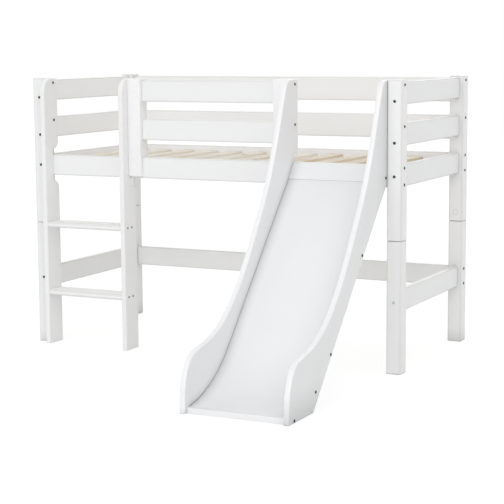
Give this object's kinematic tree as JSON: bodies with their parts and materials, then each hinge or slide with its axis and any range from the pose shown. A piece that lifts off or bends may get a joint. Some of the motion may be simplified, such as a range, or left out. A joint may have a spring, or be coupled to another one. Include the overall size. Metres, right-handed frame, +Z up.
{
  "type": "loft bed",
  "caption": "Half-high children's bed of white boards on square posts, with a slatted base, guard rails, a ladder at one end and a slide beside it.",
  "frame": {"origin": "middle of the bounding box in plan, on the floor that the legs, the ladder and the slide stand on", "axes": "+X along the bed's length, from the ladder's end to the slide's end; +Y from the slide's foot to the rear boards; +Z up"},
  "size_m": [1.6966, 1.6983, 1.15],
  "materials": {
    "white_lacquer": "white satin lacquer on solid wood and board",
    "slide_lacquer": "white satin lacquer on board",
    "slide_laminate": "smooth white laminate on thin hardboard",
    "bare_pine": "planed and untreated, with visible grain",
    "zinc_steel": "zinc plated",
    "woven_tape": "plain woven tape"
  },
  "bodies": {
    "root": {"front_left_post": "white_lacquer", "front_right_post": "white_lacquer", "rear_left_post": "white_lacquer", "rear_right_post": "white_lacquer", "front_left_leg": "white_lacquer", "front_right_leg": "white_lacquer", "rear_left_leg": "white_lacquer", "rear_right_leg": "white_lacquer", "left_end_top_board": "white_lacquer", "left_end_middle_board": "white_lacquer", "left_end_bed_board": "white_lacquer", "left_end_lower_board": "white_lacquer", "right_end_top_board": "white_lacquer", "right_end_middle_board": "white_lacquer", "right_end_bed_board": "white_lacquer", "right_end_lower_board": "white_lacquer", "rear_top_guard": "white_lacquer", "rear_middle_guard": "white_lacquer", "rear_side_board": "white_lacquer", "rear_lower_board": "white_lacquer", "front_top_guard": "white_lacquer", "front_middle_guard": "white_lacquer", "front_side_board": "white_lacquer", "ladder_gate_post": "white_lacquer", "slide_gate_post": "white_lacquer", "front_cleat": "white_lacquer", "rear_cleat": "white_lacquer", "ladder_left_rail": "white_lacquer", "ladder_right_rail": "white_lacquer", "lower_rung": "white_lacquer", "upper_rung": "white_lacquer", "slide_left_panel": "slide_lacquer", "slide_right_panel": "slide_lacquer", "slide_entry_board": "slide_lacquer", "slide_foot_board": "slide_lacquer", "slide_cross_bar_1": "slide_lacquer", "slide_cross_bar_2": "slide_lacquer", "slide_cross_bar_3": "slide_lacquer", "slide_sheet": "slide_laminate", "slat_01": "bare_pine", "slat_02": "bare_pine", "slat_03": "bare_pine", "slat_04": "bare_pine", "slat_05": "bare_pine", "slat_06": "bare_pine", "slat_07": "bare_pine", "slat_08": "bare_pine", "slat_09": "bare_pine", "slat_10": "bare_pine", "slat_11": "bare_pine", "slat_12": "bare_pine", "slat_13": "bare_pine", "front_left_stud": "zinc_steel", "front_right_stud": "zinc_steel", "rear_left_stud": "zinc_steel", "rear_right_stud": "zinc_steel", "front_slat_tape": "woven_tape", "rear_slat_tape": "woven_tape"}
  },
  "joints": []
}
